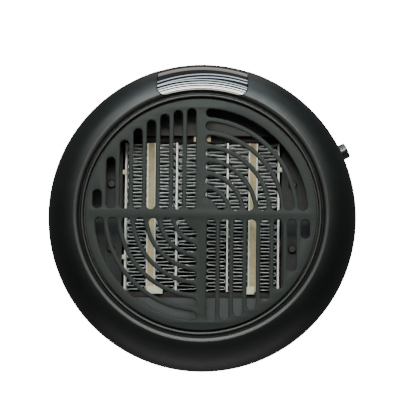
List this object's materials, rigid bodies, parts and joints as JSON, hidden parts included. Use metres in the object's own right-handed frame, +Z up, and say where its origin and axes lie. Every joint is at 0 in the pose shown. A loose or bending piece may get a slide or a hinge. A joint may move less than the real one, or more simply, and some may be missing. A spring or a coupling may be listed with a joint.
{
  "type": "ceramic space heater",
  "caption": "Round plug-in ceramic fan heater with a slotted front grille, a window in the rim, a side push button and a turning wall plug at the back.",
  "frame": {"origin": "middle of the plug face that meets the wall outlet", "axes": "+Y into the wall along the plug's blades, +Z up, the grille faces -Y"},
  "size_m": [0.175, 0.107, 0.175],
  "materials": {
    "case_black": "satin moulded",
    "grille_grey": "matte moulded",
    "baffle_grey": "matte moulded",
    "smoked_window": "gloss, smoked",
    "button_black": "semi-gloss",
    "plug_black": "fine texture",
    "inner_black": "matte",
    "holder_brown": "heat-proof moulding",
    "fin_aluminium": "mill finish",
    "plate_aluminium": "matte white",
    "ceramic_tan": "ceramic, unglazed",
    "ceramic_cream": "ceramic",
    "contact_brass": "stamped",
    "blade_metal": "nickel plated",
    "steel": "zinc plated",
    "board_green": "solder mask",
    "relay_blue": "moulded",
    "capacitor_yellow": "dipped",
    "terminal_green": "moulded",
    "display_dark": "gloss",
    "fuse_white": "ceramic body"
  },
  "bodies": {
    "plug": {"plug_swivel": "plug_black", "plug_blade_left": "blade_metal", "plug_blade_right": "blade_metal", "contact_ring_inner": "contact_brass", "contact_ring_outer": "contact_brass"},
    "housing": {"front_bezel": "case_black", "rear_housing": "case_black", "front_grille": "grille_grey", "baffle_plate": "baffle_grey", "display_window": "smoked_window", "fan_shroud": "inner_black", "plug_retainer": "inner_black", "power_switch": "inner_black", "core_holder_top": "holder_brown", "core_holder_bottom": "holder_brown", "fin_row_1": "fin_aluminium", "fin_row_2": "fin_aluminium", "fin_row_3": "fin_aluminium", "fin_row_4": "fin_aluminium", "fin_row_5": "fin_aluminium", "fin_row_6": "fin_aluminium", "core_plate_1": "plate_aluminium", "core_plate_2": "plate_aluminium", "core_plate_3": "plate_aluminium", "core_plate_4": "plate_aluminium", "ptc_strip_1": "ceramic_tan", "ptc_strip_2": "ceramic_tan", "ptc_strip_3": "ceramic_tan", "insulator_left": "ceramic_cream", "insulator_right": "ceramic_cream", "core_clip_1": "ceramic_cream", "core_clip_2": "ceramic_cream", "core_clip_3": "ceramic_cream", "terminal_left": "contact_brass", "terminal_right": "contact_brass", "contact_brush_inner": "contact_brass", "contact_brush_outer": "contact_brass", "motor_bush_front": "contact_brass", "motor_bush_rear": "contact_brass", "button_spring": "steel", "fan_motor": "steel", "thermostat": "steel", "case_screw_1": "steel", "case_screw_2": "steel", "case_screw_3": "steel", "case_screw_4": "steel", "baffle_screw_1": "steel", "baffle_screw_2": "steel", "baffle_screw_3": "steel", "baffle_screw_4": "steel", "main_board": "board_green", "display_board": "board_green", "relay": "relay_blue", "capacitor": "capacitor_yellow", "terminal_block": "terminal_green", "led_display": "display_dark", "thermal_fuse": "fuse_white"},
    "fan": {"fan_impeller": "inner_black", "motor_shaft": "steel"},
    "button": {"side_button": "button_black"}
  },
  "joints": [
    {"name": "plug_turn", "type": "hinge", "parent": "plug", "child": "housing", "pos_m": [0, 0, 0], "axis": [0, 1, 0], "range_deg": [-90, 90]},
    {"name": "fan_spin", "type": "hinge", "parent": "housing", "child": "fan", "pos_m": [0, -0.0375, 0], "axis": [0, 1, 0], "continuous": true},
    {"name": "button_press", "type": "slide", "parent": "housing", "child": "button", "axis": [-0.8988, 0, -0.4384], "range_m": [0, 0.002], "stiffness_N_per_m": 600, "springref_m": -0.0015, "deforming": ["button_spring"]}
  ]
}
